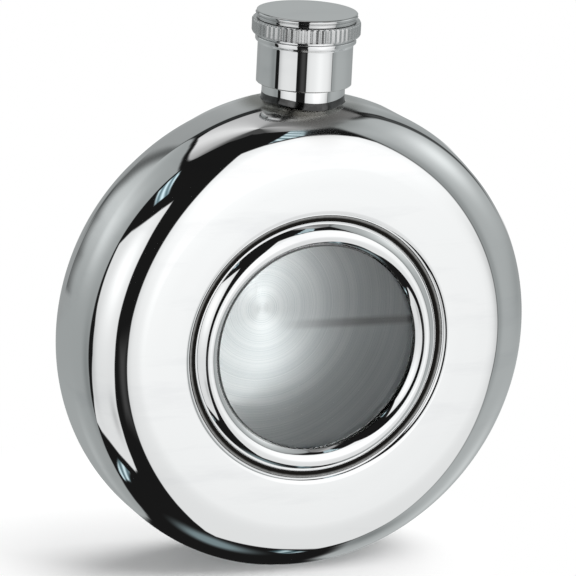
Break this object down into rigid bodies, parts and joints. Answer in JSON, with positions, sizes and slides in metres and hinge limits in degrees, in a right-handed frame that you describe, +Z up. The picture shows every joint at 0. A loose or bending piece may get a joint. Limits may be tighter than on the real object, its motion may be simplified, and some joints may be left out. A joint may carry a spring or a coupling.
{
  "type": "round hip flask",
  "caption": "Flat round steel flask that stands on a small flat, with a clear round window in its face and a knurled screw cap on a short neck.",
  "frame": {"origin": "middle of the footprint, on the surface that the flask stands on", "axes": "+Z up along the neck, -Y out of the window, +X to the right seen from the window side"},
  "size_m": [0.096, 0.0304, 0.1118],
  "materials": {
    "polished_steel": "mirror polished stainless steel",
    "ring_nut_steel": "satin turned stainless steel",
    "window_glass": "clear polished pane",
    "silicone_seal": "matt black silicone",
    "nylon_insert": "natural nylon"
  },
  "bodies": {
    "flask": {"front_shell": "polished_steel", "rear_shell": "polished_steel", "window_bezel": "polished_steel", "window_pane": "window_glass", "pane_seal": "silicone_seal", "body_seal": "silicone_seal", "window_ring_nut": "ring_nut_steel", "neck_spout": "polished_steel", "neck_collar": "polished_steel"},
    "seal": {"cap_liner": "silicone_seal"},
    "cap": {"cap_shell": "polished_steel", "cap_knurl_band": "polished_steel", "cap_top_plate": "polished_steel", "cap_thread_insert": "nylon_insert"}
  },
  "joints": [
    {"name": "cap_rise", "type": "slide", "parent": "flask", "child": "seal", "axis": [0, 0, 1], "range_m": [0, 0.01001]},
    {"name": "cap_turn", "type": "hinge", "parent": "seal", "child": "cap", "pos_m": [0, 0.00047, 0.1], "axis": [0, 0, 1], "range_deg": [0, 1440]}
  ],
  "couplings": [
    {"joint": "cap_rise", "follows": "cap_turn", "m_per_rad": 0.00039789}
  ]
}
